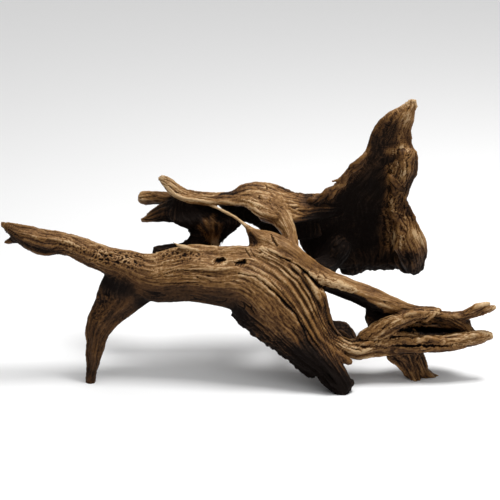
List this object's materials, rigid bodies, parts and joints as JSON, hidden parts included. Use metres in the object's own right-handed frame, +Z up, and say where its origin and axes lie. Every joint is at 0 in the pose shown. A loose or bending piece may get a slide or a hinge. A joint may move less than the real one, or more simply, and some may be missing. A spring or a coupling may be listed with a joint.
{
  "type": "bogwood",
  "caption": "Branching dark waterworn bogwood: an arched trunk with an arm, a leg and a clawed branch in front of a hollow, horned stump; it stands on its root tips.",
  "frame": {"origin": "centre of the bounding box, at the level surface that the root tips stand on", "axes": "+X along the longest extent, from the broken arm towards the claw; +Y from the arched trunk towards the hollow stump behind it; +Z up"},
  "size_m": [0.4919, 0.1503, 0.2733],
  "materials": {
    "bare_wood": "worn bare wood, warm brown with a dull waxy gloss",
    "stained_wood": "peat-stained wood, near black brown"
  },
  "bodies": {
    "root": {"trunk": "bare_wood", "left_arm": "bare_wood", "left_leg": "stained_wood", "branch": "bare_wood", "lower_branch": "bare_wood", "claw": "bare_wood", "claw_foot": "stained_wood", "back_plank": "bare_wood", "forked_stub": "stained_wood", "hanging_root": "stained_wood", "stump": "stained_wood", "horn": "bare_wood", "back_root": "stained_wood"}
  },
  "joints": []
}
